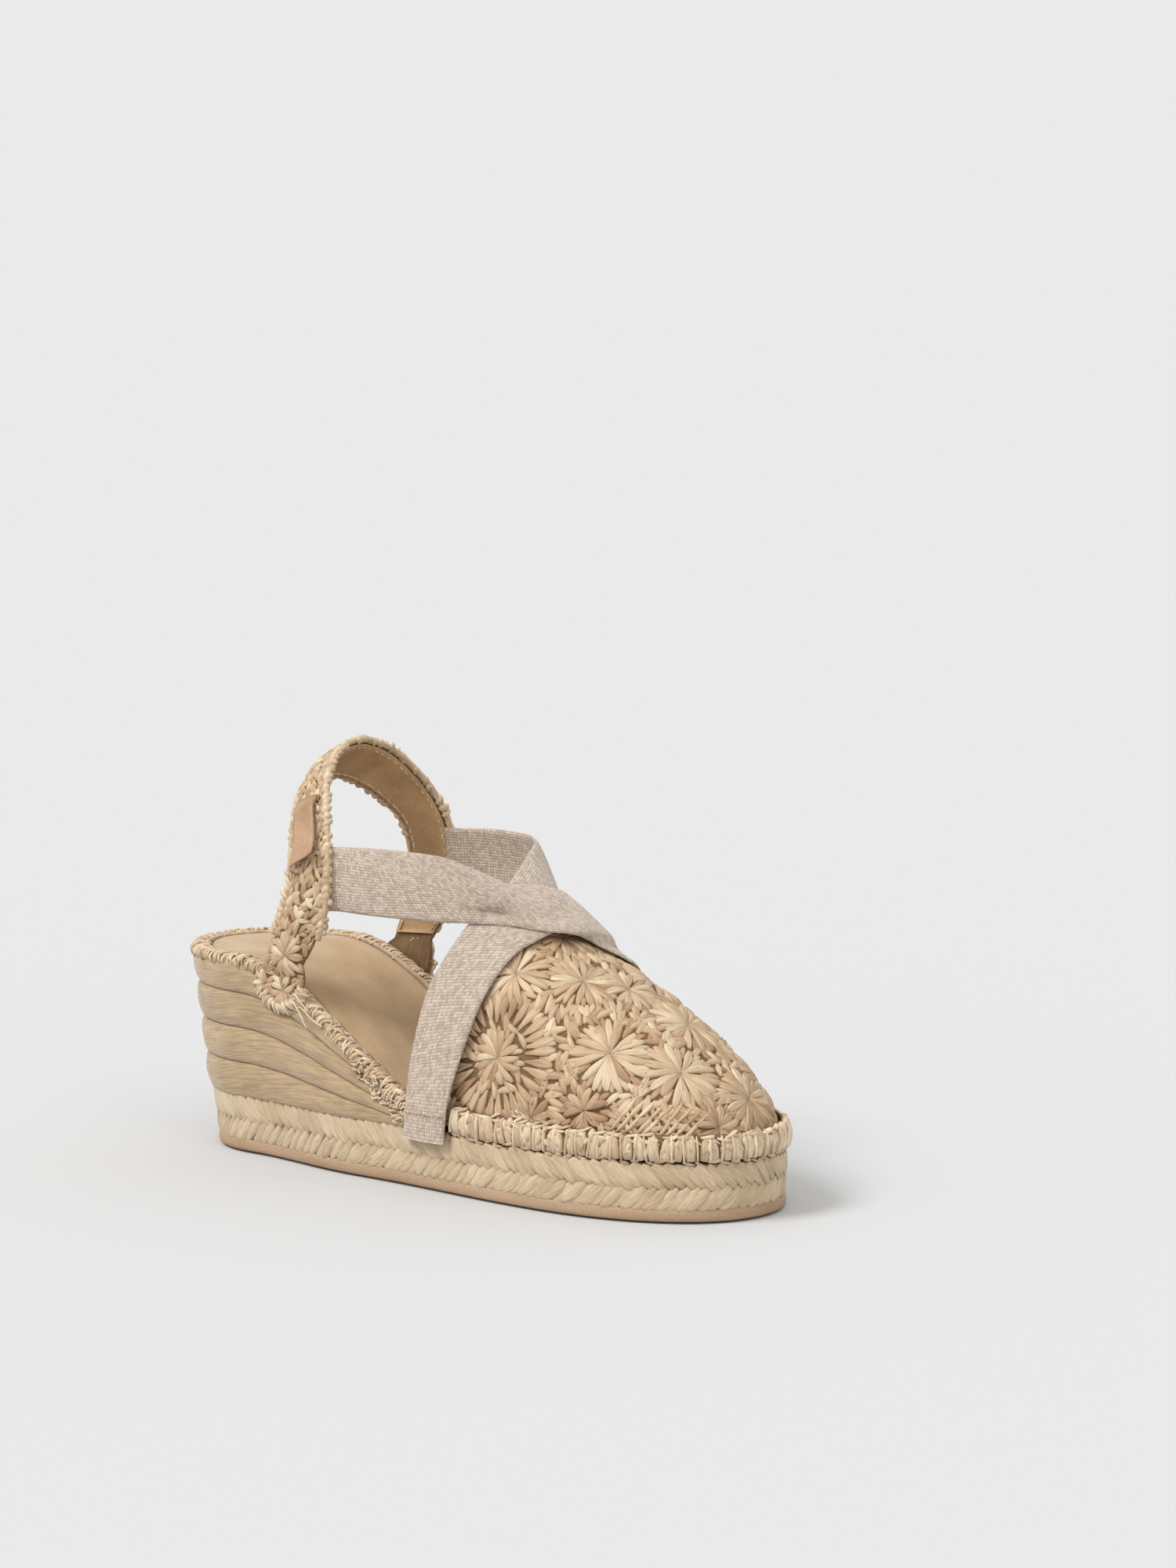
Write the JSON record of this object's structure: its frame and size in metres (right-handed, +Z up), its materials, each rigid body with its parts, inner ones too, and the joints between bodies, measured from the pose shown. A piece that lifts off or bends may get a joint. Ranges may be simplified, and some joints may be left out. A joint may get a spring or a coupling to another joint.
{
  "type": "wedge slingback espadrille sandal",
  "caption": "Right-foot wedge sandal: braided jute sole, raffia crochet toe, two crossed elastic straps and a heel sling that swings on its sewn ends.",
  "frame": {"origin": "middle of the footprint's bounding box, on the ground plane under the outsole", "axes": "+X to the toe, -Y to the outer side of the right foot, +Z up"},
  "size_m": [0.2562, 0.0884, 0.1533],
  "materials": {
    "rubber": "matt moulded tan rubber",
    "jute": "braided natural jute",
    "cork": "ground cork",
    "board": "pressed fibre board",
    "foam": "soft open foam",
    "suede": "tan suede",
    "jute_thread": "twisted jute yarn",
    "raffia": "crocheted raffia, slight gloss",
    "lining_leather": "soft brown lining leather",
    "elastic": "linen-faced elastic webbing",
    "tab_leather": "smooth tan leather"
  },
  "bodies": {
    "shoe": {"rubber_outsole": "rubber", "jute_base_braid": "jute", "jute_base_core": "cork", "wedge_core": "cork", "jute_wedge_course_1": "jute", "jute_wedge_course_2": "jute", "jute_wedge_course_3": "jute", "jute_wedge_course_4": "jute", "insole_board": "board", "foam_cushion": "foam", "suede_footbed": "suede", "rim_whip_stitching": "jute_thread", "vamp_raffia": "raffia", "vamp_lining": "lining_leather", "vamp_blanket_stitch_band": "jute_thread", "elastic_under": "elastic", "elastic_over": "elastic", "elastic_under_foot_seam": "jute_thread", "elastic_over_foot_seam": "jute_thread", "sling_anchor_stitching_outer": "jute_thread", "sling_anchor_stitching_inner": "jute_thread"},
    "heel_sling": {"sling_raffia": "raffia", "sling_lining": "lining_leather", "sling_edging_front": "raffia", "sling_edging_back": "raffia", "leather_tab": "tab_leather"}
  },
  "joints": [
    {"name": "sling_swing", "type": "hinge", "parent": "shoe", "child": "heel_sling", "pos_m": [-0.06261, -0.00022, 0.07005], "axis": [0, -1, 0], "range_deg": [-12, 22], "stiffness_Nm_per_rad": 0.8, "deforming": ["elastic_under", "elastic_over"]}
  ]
}
